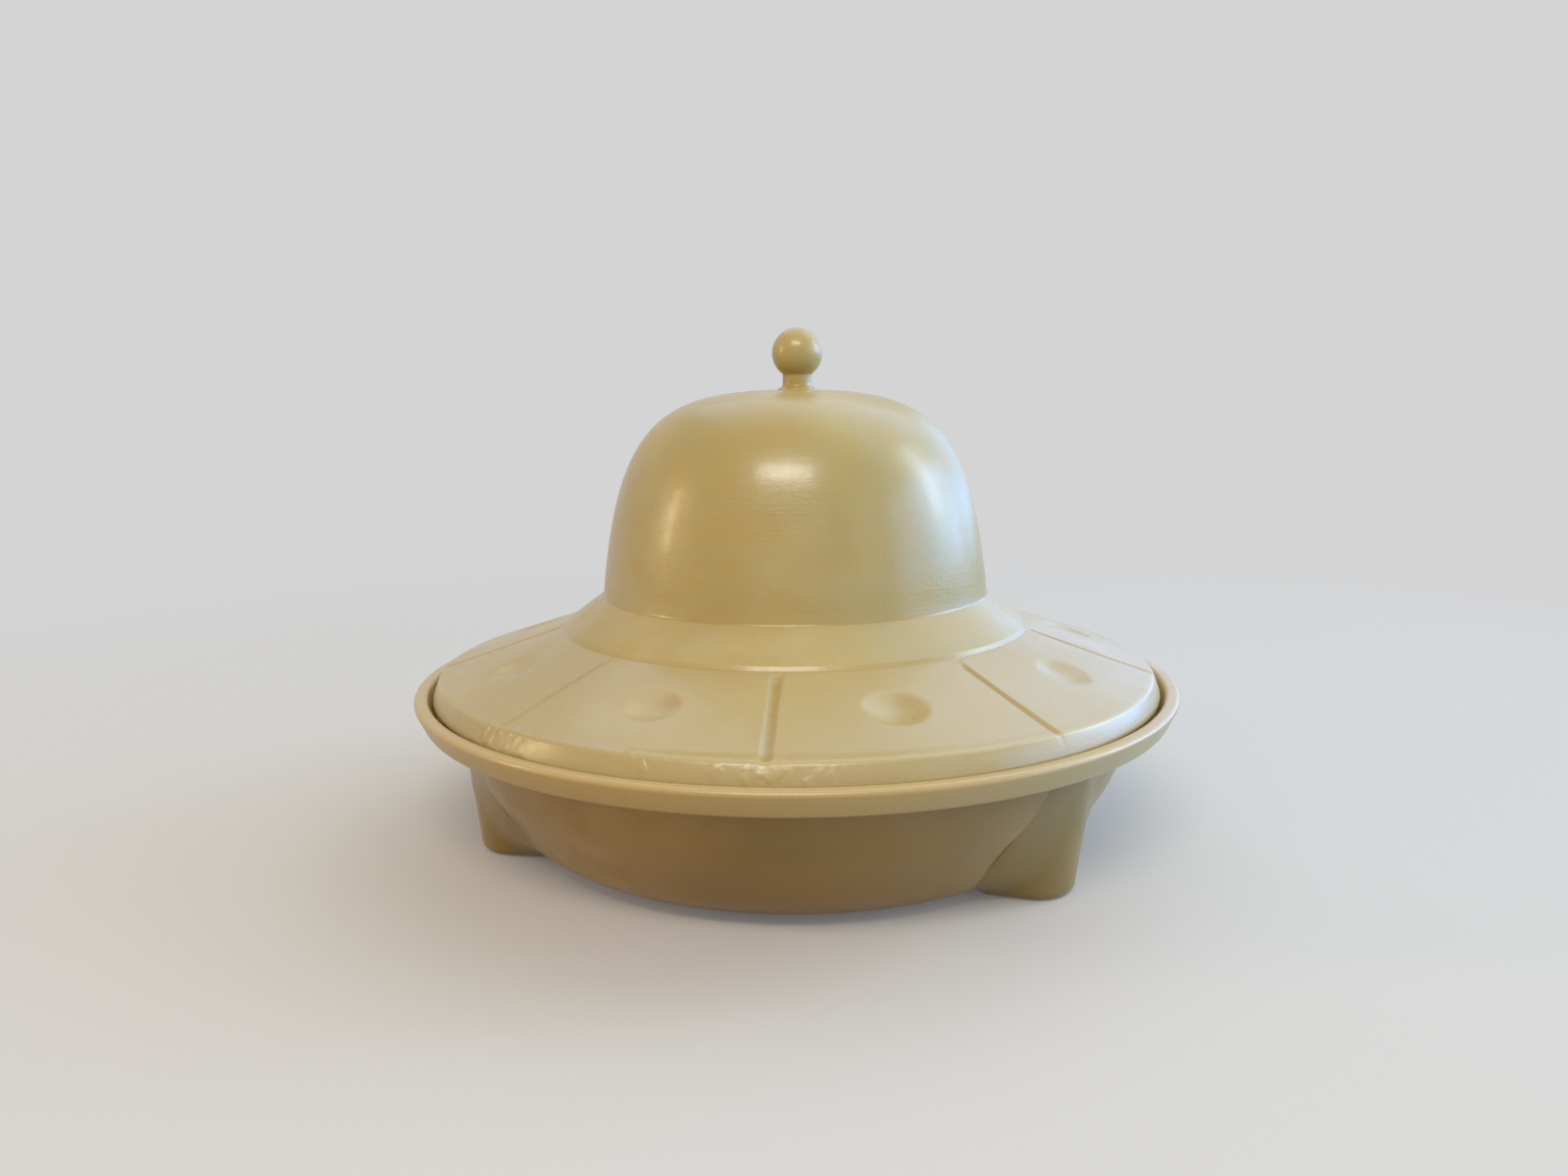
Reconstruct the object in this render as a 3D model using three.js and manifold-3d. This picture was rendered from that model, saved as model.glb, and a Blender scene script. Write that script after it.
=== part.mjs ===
// Stoneware tagine in a flying-saucer form: a footed dish with a galleried rim and a domed lid.
// Millimetres, Z up, the table plane at Z = 0, the dish's axis on Z, the front toward -Y.
import * as THREE from 'three';
import { mergeVertices } from 'three/addons/utils/BufferGeometryUtils.js';
import Module from 'manifold-3d';

const wasm = await Module();
wasm.setup();

// Rim of the dish: a flange with an upstanding lip, sizes to its corners before rounding
const rimRadius = 140.8;
const rimTopZ = 57;
const rimBandHeight = 8.5;
const rimLean = 4;
const lipWidth = 5.3;
const lipRound = 1.4;
const rimEdgeRound = 1.5;
const galleryDepth = 5;
const galleryRound = 1;
const flangeDrop = 1.3;
const flangeFillet = 1;

// Bowl of the dish
const bowlUndersideZ = 0.7;
const bowlFootRadius = 102.6;
const bowlCornerRound = 26;
const bowlBreakRadius = 120.8;
const bowlBreakZ = 31;
const bowlBreakRound = 40;
const bowlTopRadius = 123.6;
const bowlWall = 7;
const bowlFloor = 6.5;
const bowlInnerRound = 22;

// Feet: rounded noses whose flanks widen inward to the bowl and open further with height
const footCount = 3;
const firstFootAzimuth = 47.6;
const footFlankLow = 25.3;
const footFlankHigh = 77.4;
const footFlareEase = 2.4;
const footNoseLowOffset = 3;
const footNoseHighInset = 24.6;
const footNoseRadiusLow = 13.3;
const footNoseRadiusHigh = 24.8;
const footBottomRound = 3;
const footRootInset = 1.6;
const footFillet = 4.5;
const footFilletTrim = 1.8;

// Lid: rim edge, brim, step, collar and dome
const lidEdgeRadius = 133.5;
const lidEdgeZ = 56.5;
const lidEdgeRound = 2;
const lidSeatWidth = 7.3;
const lidSeatTuck = 2.2;
const lidSeatRound = 1;
const shoulderRadius = 131.6;
const shoulderZ = 61;
const shoulderRound = 5;
const brimSlope = 18.3;
const brimInnerRadius = 86.2;
const brimInnerZ = 76.7;
const brimBendRadius = 118;
const brimBendRound = 60;
const stepRise = 1.6;
const stepWidth = 1;
const stepRound = 0.6;
const domeFootRadius = 71.7;
const domeFootZ = 88.4;
const domeFootFillet = 1.5;
const domeLean = 5.7;
const domeSideReach = 66.8;
const domeCrownReach = 46.4;
const crownZ = 162.8;
const lidWall = 6;
const lidInnerRound = 5;

// Ornament of the brim
const panelCount = 9;
const firstGrooveAzimuth = -3.8;
const grooveWidth = 3.4;
const grooveDepth = 1.1;
const grooveFlat = 0.8;
const grooveOverlap = 0.4;
const grooveStartRadius = 88.6;
const grooveRunOut = 6;
const dimpleRadius = 11;
const dimpleDepth = 1.8;
const dimpleCentreRadius = 107;
const dimpleOverlap = 0.8;

// Knob: a ball on a short stem
const knobBallRadius = 9.25;
const knobHeight = 22.35;
const knobStemRadius = 5.4;
const knobFlareRadius = 6.8;
const knobFlareHeight = 2.4;

// Clearances between separate pieces
const slipJoint = 0.3;
const lidRestGap = 0.3;

// Fineness of the curved surfaces
const chordError = 0.15;
const dishSegments = 60;
const lidSegments = 63;
const knobSegments = 24;
const dimpleSegments = 20;
const dimpleArcSteps = 3;
const domeSteps = 13;
const innerDomeSteps = 7;
const ballSteps = 8;
const flareSteps = 3;
const footHalfSteps = 6;
const footRoundSteps = 3;
const grooveRoundSteps = 2;

const radians = THREE.MathUtils.degToRad;

// Outline through corner points; a corner's third value is its rounding radius
function roundedOutline(corners) {
  const spots = corners.map(([r, z]) => new THREE.Vector2(r, z));
  const outline = [];
  corners.forEach(([, , round], i) => {
    const here = spots[i];
    if (!round) {
      outline.push(here);
      return;
    }
    const back = spots[i - 1].clone().sub(here).normalize();
    const ahead = spots[i + 1].clone().sub(here).normalize();
    const half = Math.acos(back.dot(ahead)) / 2;
    const toCentre = back.clone().add(ahead).normalize().multiplyScalar(round / Math.sin(half));
    const centre = here.clone().add(toCentre);
    const start = here.clone().addScaledVector(back, round / Math.tan(half)).sub(centre);
    const turn = (Math.PI - 2 * half) * Math.sign(ahead.cross(back));
    const steps = Math.ceil(Math.abs(turn) / Math.sqrt(8 * chordError / round));
    for (let s = 0; s <= steps; s += 1) {
      const point = start.clone().rotateAround(new THREE.Vector2(), turn * s / steps);
      outline.push(point.add(centre));
    }
  });
  return outline;
}

// Body turned from an outline of radius and height
function turned(outline, segments) {
  return new THREE.LatheGeometry(outline, segments).rotateX(Math.PI / 2);
}

function asSolid(geometry) {
  const bare = geometry.clone();
  bare.deleteAttribute('normal');
  bare.deleteAttribute('uv');
  const joined = mergeVertices(bare);
  const triVerts = new Uint32Array(joined.index.array);
  const vertProperties = new Float32Array(joined.attributes.position.array);
  return new wasm.Manifold(new wasm.Mesh({ numProp: 3, vertProperties, triVerts }));
}

function asGeometry(solid) {
  const { vertProperties, triVerts } = solid.getMesh();
  const geometry = new THREE.BufferGeometry();
  geometry.setAttribute('position', new THREE.BufferAttribute(vertProperties, 3));
  geometry.setIndex(new THREE.BufferAttribute(triVerts, 1));
  return geometry;
}

// Azimuths are counted from the front, positive toward the right
function facing(geometry, azimuth) {
  return geometry.rotateZ(radians(azimuth - 90));
}

// Dish: outside of the bowl, rim, gallery ledge and inside of the bowl in one turned outline
const flangeZ = rimTopZ - rimBandHeight - flangeDrop;
const bowlFloorZ = bowlUndersideZ + bowlFloor;
const galleryZ = rimTopZ - galleryDepth;
const lipInnerRadius = rimRadius - lipWidth;
const galleryRadius = lipInnerRadius - rimLean * galleryDepth / rimBandHeight;
const wallRise = (bowlFloorZ - bowlUndersideZ) / (bowlBreakZ - bowlUndersideZ);
const floorRadius = THREE.MathUtils.lerp(bowlFootRadius, bowlBreakRadius, wallRise) - bowlWall;

const bowlOutside = roundedOutline([
  [0, bowlUndersideZ],
  [bowlFootRadius, bowlUndersideZ, bowlCornerRound],
  [bowlBreakRadius, bowlBreakZ, bowlBreakRound],
  [bowlTopRadius, flangeZ, flangeFillet],
  [rimRadius - rimLean, rimTopZ - rimBandHeight],
]);
bowlOutside.pop();
const dishOutline = roundedOutline([
  ...bowlOutside.map((point) => [point.x, point.y]),
  [rimRadius - rimLean, rimTopZ - rimBandHeight, rimEdgeRound],
  [rimRadius, rimTopZ, lipRound],
  [lipInnerRadius, rimTopZ, lipRound],
  [galleryRadius, galleryZ, galleryRound],
  [bowlTopRadius - bowlWall, galleryZ, galleryRound],
  [bowlBreakRadius - bowlWall, bowlBreakZ, bowlBreakRound],
  [floorRadius, bowlFloorZ, bowlInnerRound],
  [0, bowlFloorZ],
]);
const dish = turned(dishOutline, dishSegments);

// Outer radius of the bowl at a height above its flat underside, moved outward by a gap square to the wall
function bowlRadius(z, gap) {
  const upper = Math.max(bowlOutside.findIndex((point) => point.y >= z), 2);
  const a = bowlOutside[upper - 1];
  const b = bowlOutside[upper];
  const slope = (b.x - a.x) / (b.y - a.y);
  return a.x + slope * (z - a.y) + gap * Math.hypot(1, slope);
}

// Outer radius of a foot at a turn away from its centre line: nose circle, flank, fillet to the bowl
function footRadius(turn, flank, centre, nose, wallRadius) {
  const noseEnd = Math.atan2(nose * Math.cos(flank), centre + nose * Math.sin(flank));
  const side = (centre * Math.sin(flank) + nose) / Math.sin(flank + Math.abs(turn));
  const across = centre * Math.sin(turn);
  const front = centre * Math.cos(turn) + Math.sqrt(Math.max(nose * nose - across * across, 0));
  const outer = Math.abs(turn) < noseEnd ? front : side;
  const blend = Math.max(footFillet - Math.abs(outer - wallRadius), 0);
  return Math.max(outer, wallRadius) + blend * blend / (4 * footFillet);
}

// Foot: level outlines joined from the table up to the flange
function footBody() {
  const topZ = flangeZ - flangeFillet - slipJoint;
  const centreLow = bowlFootRadius + footNoseLowOffset;
  const centreHigh = bowlTopRadius - footNoseHighInset;
  const rootRadius = bowlFootRadius - footRootInset;
  const levels = [];
  for (let s = 0; s <= footRoundSteps; s += 1) {
    levels.push(footBottomRound * (1 - Math.cos(s / footRoundSteps * Math.PI / 2)));
  }
  const wallLevels = bowlOutside.map((point) => point.y);
  levels.push(...wallLevels.filter((z) => z > footBottomRound + slipJoint && z < topZ - slipJoint));
  levels.push(topZ);
  const positions = [];
  levels.forEach((z) => {
    const rise = z / topZ;
    const shy = Math.max(footBottomRound - z, 0);
    const inset = footBottomRound - Math.sqrt(footBottomRound * footBottomRound - shy * shy);
    const centre = THREE.MathUtils.lerp(centreLow, centreHigh, rise);
    const nose = THREE.MathUtils.lerp(footNoseRadiusLow, footNoseRadiusHigh, rise) - inset;
    const flare = 1 - (1 - rise) ** footFlareEase;
    const flank = radians(THREE.MathUtils.lerp(footFlankLow, footFlankHigh, flare));
    const wallRadius = Math.max(rootRadius, bowlRadius(z, slipJoint));
    const reach = (centre * Math.sin(flank) + nose) / (wallRadius - footFilletTrim);
    const edge = Math.asin(Math.min(reach, 1)) - flank;
    for (let i = -footHalfSteps; i <= footHalfSteps; i += 1) {
      const turn = edge * i / footHalfSteps;
      const radius = footRadius(turn, flank, centre, nose, wallRadius);
      positions.push(radius * Math.cos(turn), radius * Math.sin(turn), z);
    }
    for (let i = footHalfSteps; i >= -footHalfSteps; i -= 1) {
      const turn = edge * i / footHalfSteps;
      positions.push(wallRadius * Math.cos(turn), wallRadius * Math.sin(turn), z);
    }
  });
  const around = 4 * footHalfSteps + 2;
  const index = [];
  for (let level = 0; level < levels.length - 1; level += 1) {
    for (let i = 0; i < around; i += 1) {
      const a = level * around + i;
      const b = level * around + (i + 1) % around;
      index.push(a, b, b + around, a, b + around, a + around);
    }
  }
  const last = (levels.length - 1) * around;
  for (let i = 0; i < around / 2 - 1; i += 1) {
    const j = around - 1 - i;
    index.push(i, j, j - 1, i, j - 1, i + 1);
    index.push(last + i, last + j - 1, last + j, last + i, last + i + 1, last + j - 1);
  }
  const geometry = new THREE.BufferGeometry();
  geometry.setAttribute('position', new THREE.Float32BufferAttribute(positions, 3));
  geometry.setIndex(index);
  return geometry;
}

// Dome curve from its foot to the crown, moved inward by a wall
function domeCurve(wall, steps) {
  const side = new THREE.Vector2(domeFootRadius - wall, domeFootZ - wall / 2);
  const lean = domeSideReach * Math.tan(radians(domeLean));
  const sidePull = new THREE.Vector2(side.x - lean, domeFootZ + domeSideReach - wall);
  const crownPull = new THREE.Vector2(domeCrownReach - wall, crownZ - wall);
  const crown = new THREE.Vector2(0, crownZ - wall);
  return new THREE.CubicBezierCurve(side, sidePull, crownPull, crown).getPoints(steps);
}

// Height of the straight part of the brim at a radius
function brimZ(radius) {
  return brimInnerZ - (radius - brimInnerRadius) * Math.tan(radians(brimSlope));
}

// Lid: inside of the dome and brim, seat on the gallery, brim, step, collar and dome
const collarRadius = brimInnerRadius - stepWidth;
const collarZ = brimInnerZ + stepRise;
const lidSeatZ = galleryZ + lidRestGap;
const seatOuterRadius = lidEdgeRadius - lidSeatTuck;
const seatInnerRadius = seatOuterRadius - lidSeatWidth;
const brimDrop = lidWall / Math.cos(radians(brimSlope));
const innerBrimRadius = seatInnerRadius - lidSeatTuck;
const innerCollarRadius = collarRadius - stepWidth / 2;
const outerDome = domeCurve(0, domeSteps);
const innerDome = domeCurve(lidWall, innerDomeSteps);

const lidOutline = roundedOutline([
  ...innerDome.reverse().map((point) => [point.x, point.y]),
  [innerCollarRadius, brimZ(innerCollarRadius) - brimDrop, lidInnerRound],
  [innerBrimRadius, brimZ(innerBrimRadius) - brimDrop, lidInnerRound],
  [seatInnerRadius, lidSeatZ, lidSeatRound],
  [seatOuterRadius, lidSeatZ, lidSeatRound],
  [lidEdgeRadius, lidEdgeZ, lidEdgeRound],
  [shoulderRadius, shoulderZ, shoulderRound],
  [brimBendRadius, brimZ(brimBendRadius), brimBendRound],
  [brimInnerRadius, brimInnerZ, stepRound],
  [collarRadius, collarZ, stepRound],
  [domeFootRadius, domeFootZ, domeFootFillet],
  ...outerDome.slice(1).map((point) => [point.x, point.y]),
]);

// Cutter for one groove: a strip along the brim with a rounded belly, from the step over the shoulder
function grooveCutter() {
  const shoulderSlope = (brimZ(brimBendRadius) - shoulderZ) / (shoulderRadius - brimBendRadius);
  const endRadius = shoulderRadius + grooveRunOut;
  const endZ = shoulderZ - grooveRunOut * shoulderSlope;
  const strip = new THREE.Shape();
  strip.moveTo(grooveStartRadius, brimZ(grooveStartRadius) + grooveOverlap);
  strip.lineTo(brimBendRadius, brimZ(brimBendRadius) + grooveOverlap);
  strip.lineTo(endRadius, endZ + grooveOverlap);
  strip.lineTo(endRadius, brimZ(grooveStartRadius) + grooveRunOut);
  strip.lineTo(grooveStartRadius, brimZ(grooveStartRadius) + grooveRunOut);
  const cutter = new THREE.ExtrudeGeometry(strip, {
    depth: grooveFlat,
    bevelThickness: (grooveWidth - grooveFlat) / 2,
    bevelSize: grooveDepth + grooveOverlap,
    bevelSegments: grooveRoundSteps,
  });
  return cutter.translate(0, 0, -grooveFlat / 2).rotateX(Math.PI / 2);
}

// Cutter for one dimple: a shallow ball cap standing square to the brim
function dimpleCutter() {
  const ball = (dimpleRadius * dimpleRadius + dimpleDepth * dimpleDepth) / (2 * dimpleDepth);
  const lift = dimpleDepth + dimpleOverlap;
  const reach = Math.acos(1 - lift / ball);
  const cap = [new THREE.Vector2(0, -dimpleDepth)];
  for (let s = 1; s <= dimpleArcSteps; s += 1) {
    const angle = reach * s / dimpleArcSteps;
    cap.push(new THREE.Vector2(ball * Math.sin(angle), ball * (1 - Math.cos(angle)) - dimpleDepth));
  }
  cap.push(new THREE.Vector2(0, dimpleOverlap));
  const cutter = turned(cap, dimpleSegments).rotateY(radians(brimSlope));
  return cutter.translate(dimpleCentreRadius, 0, brimZ(dimpleCentreRadius));
}

let lidSolid = asSolid(turned(lidOutline, lidSegments));
const panelAngle = 360 / panelCount;
for (let panel = 0; panel < panelCount; panel += 1) {
  const grooveAzimuth = firstGrooveAzimuth + panel * panelAngle;
  lidSolid = lidSolid.subtract(asSolid(facing(grooveCutter(), grooveAzimuth)));
  lidSolid = lidSolid.subtract(asSolid(facing(dimpleCutter(), grooveAzimuth + panelAngle / 2)));
}
const lid = asGeometry(lidSolid);

// Knob: flared stem luted on the crown, and the ball
const ballZ = crownZ + knobHeight - knobBallRadius;
const ballStart = -Math.acos(knobStemRadius / knobBallRadius);
const stemFootZ = crownZ + slipJoint;
const stemFlare = new THREE.QuadraticBezierCurve(
  new THREE.Vector2(knobFlareRadius, stemFootZ),
  new THREE.Vector2(knobStemRadius, stemFootZ),
  new THREE.Vector2(knobStemRadius, stemFootZ + knobFlareHeight),
);
const knobOutline = [new THREE.Vector2(0, stemFootZ), ...stemFlare.getPoints(flareSteps)];
for (let s = 0; s <= ballSteps; s += 1) {
  const angle = THREE.MathUtils.lerp(ballStart, Math.PI / 2, s / ballSteps);
  const radius = s < ballSteps ? knobBallRadius * Math.cos(angle) : 0;
  knobOutline.push(new THREE.Vector2(radius, ballZ + knobBallRadius * Math.sin(angle)));
}
const knob = turned(knobOutline, knobSegments);

// Glazes and assembly
const part = new THREE.Group();
part.name = 'tagine';

function addPiece(name, geometry, colour, roughness) {
  const glaze = new THREE.MeshStandardMaterial({ color: colour, roughness, metalness: 0 });
  const mesh = new THREE.Mesh(geometry, glaze);
  mesh.name = name;
  part.add(mesh);
}

addPiece('base_dish', dish, '#a58c60', 0.35);
const footNames = ['foot_front_right', 'foot_rear', 'foot_left'];
footNames.forEach((name, i) => {
  addPiece(name, facing(footBody(), firstFootAzimuth + i * 360 / footCount), '#97805a', 0.4);
});
addPiece('lid_shell', lid, '#b39b6c', 0.3);
addPiece('lid_knob', knob, '#b09766', 0.3);

export default part;
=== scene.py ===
import math

import bpy
import numpy as np
from mathutils import Matrix, Vector


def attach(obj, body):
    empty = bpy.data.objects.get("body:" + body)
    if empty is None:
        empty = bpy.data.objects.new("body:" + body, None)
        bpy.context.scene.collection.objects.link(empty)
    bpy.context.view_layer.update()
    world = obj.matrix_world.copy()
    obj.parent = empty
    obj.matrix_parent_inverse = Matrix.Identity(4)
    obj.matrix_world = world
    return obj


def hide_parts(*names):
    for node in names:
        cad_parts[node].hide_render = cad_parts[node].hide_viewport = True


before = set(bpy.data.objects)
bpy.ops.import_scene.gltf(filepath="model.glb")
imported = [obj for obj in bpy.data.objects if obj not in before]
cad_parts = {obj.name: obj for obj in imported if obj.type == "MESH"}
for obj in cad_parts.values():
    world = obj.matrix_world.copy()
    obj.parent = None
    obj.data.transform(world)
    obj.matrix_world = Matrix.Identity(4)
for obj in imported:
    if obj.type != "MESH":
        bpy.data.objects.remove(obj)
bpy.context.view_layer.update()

# Sizes in millimetres and degrees, with azimuths from the front toward the right

# Dish, as in the solids
RIM_R = 140.8
RIM_TOP = 57.0
RIM_BAND = 8.5
RIM_LEAN = 4.0
LIP = 5.3
GALLERY_Z = RIM_TOP - 5.0
FLANGE_Z = RIM_TOP - RIM_BAND - 1.3
BOWL_Z = 0.7
BOWL_FOOT_R = 102.6
BOWL_BREAK_R = 120.8
BOWL_BREAK_Z = 31.0
BOWL_TOP_R = 123.6
BOWL_WALL = 7.0
FLOOR_Z = BOWL_Z + 6.5
BOWL_FOOT_ROUND = 26.0
BOWL_BREAK_ROUND = 40.0
FLOOR_ROUND = 22.0
FLANGE_ROUND = 1.6
BAND_ROUND = 1.5
LIP_ROUND = 1.4
GALLERY_ROUND = 1.2
GALLERY_EDGE_ROUND = 1.6
DISH_STEP = 4.0
DISH_TURN = 1.5

# Feet: azimuth, fillet at the bowl, and the side whose flank reaches further, -1, 1 or 0 for none
FEET = {
    "foot_front_right": (47.6, 0.3, -1),
    "foot_rear": (167.6, 3.0, 0),
    "foot_left": (-72.4, 0.6, 1),
}
FOOT_LOW_R = 105.6
FOOT_HIGH_R = 99.0
FOOT_NOSE_LOW = 13.3
FOOT_NOSE_HIGH = 24.8
FOOT_FLANK_LOW = 25.3
FOOT_FLANK_HIGH = 77.4
FOOT_EASE = 2.4
FOOT_ROUND = 3.0
FOOT_ROOT_R = 101.0
FOOT_FULL_Z = FLANGE_Z - 1.3
FOOT_TOP_Z = FLANGE_Z + 0.5
FOOT_BACK = 0.6
FOOT_SINK = 0.25
FOOT_SINK_POWER = 12
FOOT_POOL_FROM = 0.72
FOOT_POOL_SPAN = 0.5
FOOT_PALE = 0.6
FOOT_ROUND_LEVELS = 9
FOOT_LEVELS = 48
FOOT_TURNS = 41

# Skirt by which a foot melts into the bowl
SKIRT_Z = 11.0
SKIRT_HALF = 16.2
SKIRT_FALL = 0.19
SKIRT_BEND = 0.0023
SKIRT_TUCK = 9.0
SKIRT_SHORTER = 2.2
SKIRT_SHARE = 0.5
SKIRT_LEAST = 1.2
MELT_LEAST = 0.5
MELT_MOST = 5.0
FILLET_SHARE = 0.95
FILLET_FADE = 3.0
FILLET_LEAST = 0.05

# Lid, with a crisper shoulder than in the solids
SLOPE = math.radians(18.3)
WALL = 6.0
BRIM_R = 86.2
BRIM_Z = 76.7
BRIM_BEND_R = 118.0
BRIM_BEND_ROUND = 60.0
SHOULDER_R = 131.0
SHOULDER_Z = 62.0
SHOULDER_ROUND = 1.8
EDGE_R = 133.5
EDGE_Z = 55.8
EDGE_ROUND = 1.4
SEAT_OUT_R = 131.3
SEAT_IN_R = 124.0
SEAT_Z = GALLERY_Z + 0.3
SEAT_ROUND = 1.0
UNDER_OUT_R = 121.8
UNDER_IN_R = 84.7
UNDER_ROUND = 5.0
STEP_IN = 1.0
STEP_UP = 1.6
STEP_LOW_ROUND = 0.7
STEP_TOP_ROUND = 0.6
DOME_R = 71.7
DOME_Z = 88.4
DOME_ROUND = 1.6
DOME_RISE = 66.8
DOME_LEAN = math.radians(5.7)
CROWN_R = 46.4
CROWN_Z = 162.8

# Lid's mesh: steps along its outline, fine on top of the brim and finest over the dimples
LID_ARC_STEP = 0.7
PLAIN_STEP = 6.0
BRIM_STEP = 1.0
DIMPLE_STEP = 0.5
FINE_R = 84.0
FINE_Z = 57.0
FINE_BELOW = 2.0
FINE_HALF = 11.0
DOME_STEPS_IN = 20
DOME_STEPS_OUT = 36

# Panels of the brim, each from one groove to the next with a dimple halfway
PANELS = 9
PANEL = 360 / PANELS
GROOVE_AZ = -3.8
GROOVE_HALF = 1.8
GROOVE_D = 1.15
GROOVE_LESSER = 0.75
GROOVE_BELLY = 0.8
GROOVE_IN_R = 87.0
GROOVE_IN_FADE = 1.6
GROOVE_OUT_R = 129.4
GROOVE_OUT_FADE = 2.0
GROOVE_ZONE = 1.25
GROOVE_TURNS = 11
PLAIN_ZONE = 1.9
PLAIN_TURNS = 7
DIMPLE_ZONE = 6.6
DIMPLE_TURNS = 31
DIMPLE_R = 107.0
DIMPLE_ALONG = 9.1
DIMPLE_ACROSS = 10.1
DIMPLE_D = 1.8
DIMPLE_LEFT_D = 1.2
DIMPLE_SOFT = 0.012
DIMPLE_RIM = 3.0

# Uneven places of the lid's surface: waves as height, number round the lid, phase and change with radius
WAVES = ((0.07, 2, 0.6, 0.0), (0.05, 5, 0.0, 1 / 9), (0.04, 11, 0.0, -1 / 5))
WAVES_Z = 56.5
WAVES_R = 72.0
WAVES_FADE = 15.0
RELIEF_Z = 53.5
RELIEF_R = 70.0
RELIEF_BELOW = 6.0
SWELL = 1.1
SWELL_AZ = -8.0
SWELL_WIDE = 50.0
SWELL_R = 127.0
SWELL_FADE = 5.0
COLLAR_R = BRIM_R + 0.4
GOLD = 0.55
GOLD_AZ = -36.0
GOLD_WIDE = 22.0
GOLD_R = 124.0
GOLD_FADE = 4.0
BLOB_R = 89.2
BLOB_SIZE = 1.6
BLOB_HIGH = 0.55
BLOB_VARIES = 0.3
BLOB_PHASE = 2.1
GROOVE_GOLD = 0.5

# Colour in each dimple, golden on one side, partly pooled glaze and partly painted shade, and pale on the
# other, a painted sheen: amount, place along the slope and across it, squared reach
DIMPLE_POOL_AND_SHADE = (0.95, -3.0, 5.0, 55.0)
DIMPLE_PAINTED_SHEEN = (0.9, 2.5, -5.5, 40.0)
PATCH_POWER = 1.5

# Knob, which stands a little to the right of the axis
KNOB_R = 9.25
KNOB_TOP = 185.15
KNOB_ASIDE = 1.4
KNOB_SINK = 0.3
KNOB_STEP = 1.2
KNOB_TURN = 4.0
BALL_STEPS = 40
STEM_R = 5.4
STEM_ROUND = 1.6
STEM_TOP_ROUND = 0.5
SLIP_R = 7.6
SLIP_TOP_R = 7.2
SLIP_H = 0.35
SLIP_ROUND = 0.3
STEM_FOOT_H = 1.0


# Shapes
def rounded(corners, step=0.35):
    """Outline through corners (radius, height, rounding), its arcs in pieces of about step millimetres."""
    fewest, most = 3, 26
    spots = [np.array(c[:2], float) for c in corners]
    out = []
    for i, corner in enumerate(corners):
        if len(corner) < 3:
            out.append(spots[i])
            continue
        size = corner[2]
        back = spots[i - 1] - spots[i]
        ahead = spots[i + 1] - spots[i]
        back /= np.linalg.norm(back)
        ahead /= np.linalg.norm(ahead)
        half = math.acos(float(back @ ahead)) / 2
        mid = back + ahead
        centre = spots[i] + mid / np.linalg.norm(mid) * size / math.sin(half)
        start = spots[i] + back * size / math.tan(half) - centre
        turn = math.copysign(math.pi - 2 * half, ahead[0] * back[1] - ahead[1] * back[0])
        pieces = min(max(fewest, math.ceil(abs(turn) * size / step)), most)
        for a in np.linspace(0, turn, pieces + 1):
            out.append(centre + np.array([start[0] * math.cos(a) - start[1] * math.sin(a),
                                          start[0] * math.sin(a) + start[1] * math.cos(a)]))
    return out


def refine(points, step_of):
    """The same outline with long stretches split, each to the length that step_of gives there."""
    out = [points[0]]
    for a, b in zip(points, points[1:]):
        pieces = max(1, math.ceil(np.linalg.norm(b - a) / step_of((a + b) / 2)))
        out += [a + (b - a) * k / pieces for k in range(1, pieces + 1)]
    return np.array(out)


def bending(outline):
    """How sharply an outline turns at each point, in radians a millimetre, positive at outer edges."""
    shortest = 0.2
    run = np.diff(outline, axis=0)
    length = np.linalg.norm(run, axis=1)
    way = np.unwrap(np.arctan2(run[:, 1], run[:, 0]))
    bend = np.zeros(len(outline))
    bend[1:-1] = np.diff(way) / np.maximum((length[1:] + length[:-1]) / 2, shortest)
    return bend


def revolve(outline, azimuths, relief=None):
    """Vertices, faces and glaze of an outline turned round Z; relief lifts points off the surface.

    The glaze runs from -1, thin on sharp edges and under a painted sheen, to 1, pooled in corners and
    hollows and in painted shade.
    """
    sharp = 0.8
    along = np.gradient(outline, axis=0)
    along /= np.linalg.norm(along, axis=1, keepdims=True)
    normal = np.stack([along[:, 1], -along[:, 0]], 1)
    thick = np.clip(-bending(outline) / sharp, -1, 1)
    az = np.radians(azimuths)
    verts, rows, pool_and_painted_light = [], [], []
    for (r, z), n, edge in zip(outline, normal, thick):
        if r < 1e-6:
            rows.append([len(verts)] * len(az))
            verts.append((0.0, 0.0, z))
            pool_and_painted_light.append(0.0)
            continue
        lift, pooling_and_painted_light = relief(np.asarray(azimuths), r, z) if relief else np.zeros((2, len(az)))
        rr, zz = r + n[0] * lift, z + n[1] * lift
        rows.append(list(range(len(verts), len(verts) + len(az))))
        verts += zip(rr * np.sin(az), -rr * np.cos(az), zz)
        pool_and_painted_light += list(np.clip(edge + pooling_and_painted_light, -1, 1))
    faces = []
    for low, high in zip(rows, rows[1:]):
        for j in range(len(az)):
            k = (j + 1) % len(az)
            faces.append(list(dict.fromkeys([low[j], low[k], high[k], high[j]])))
    return verts, faces, pool_and_painted_light


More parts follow.
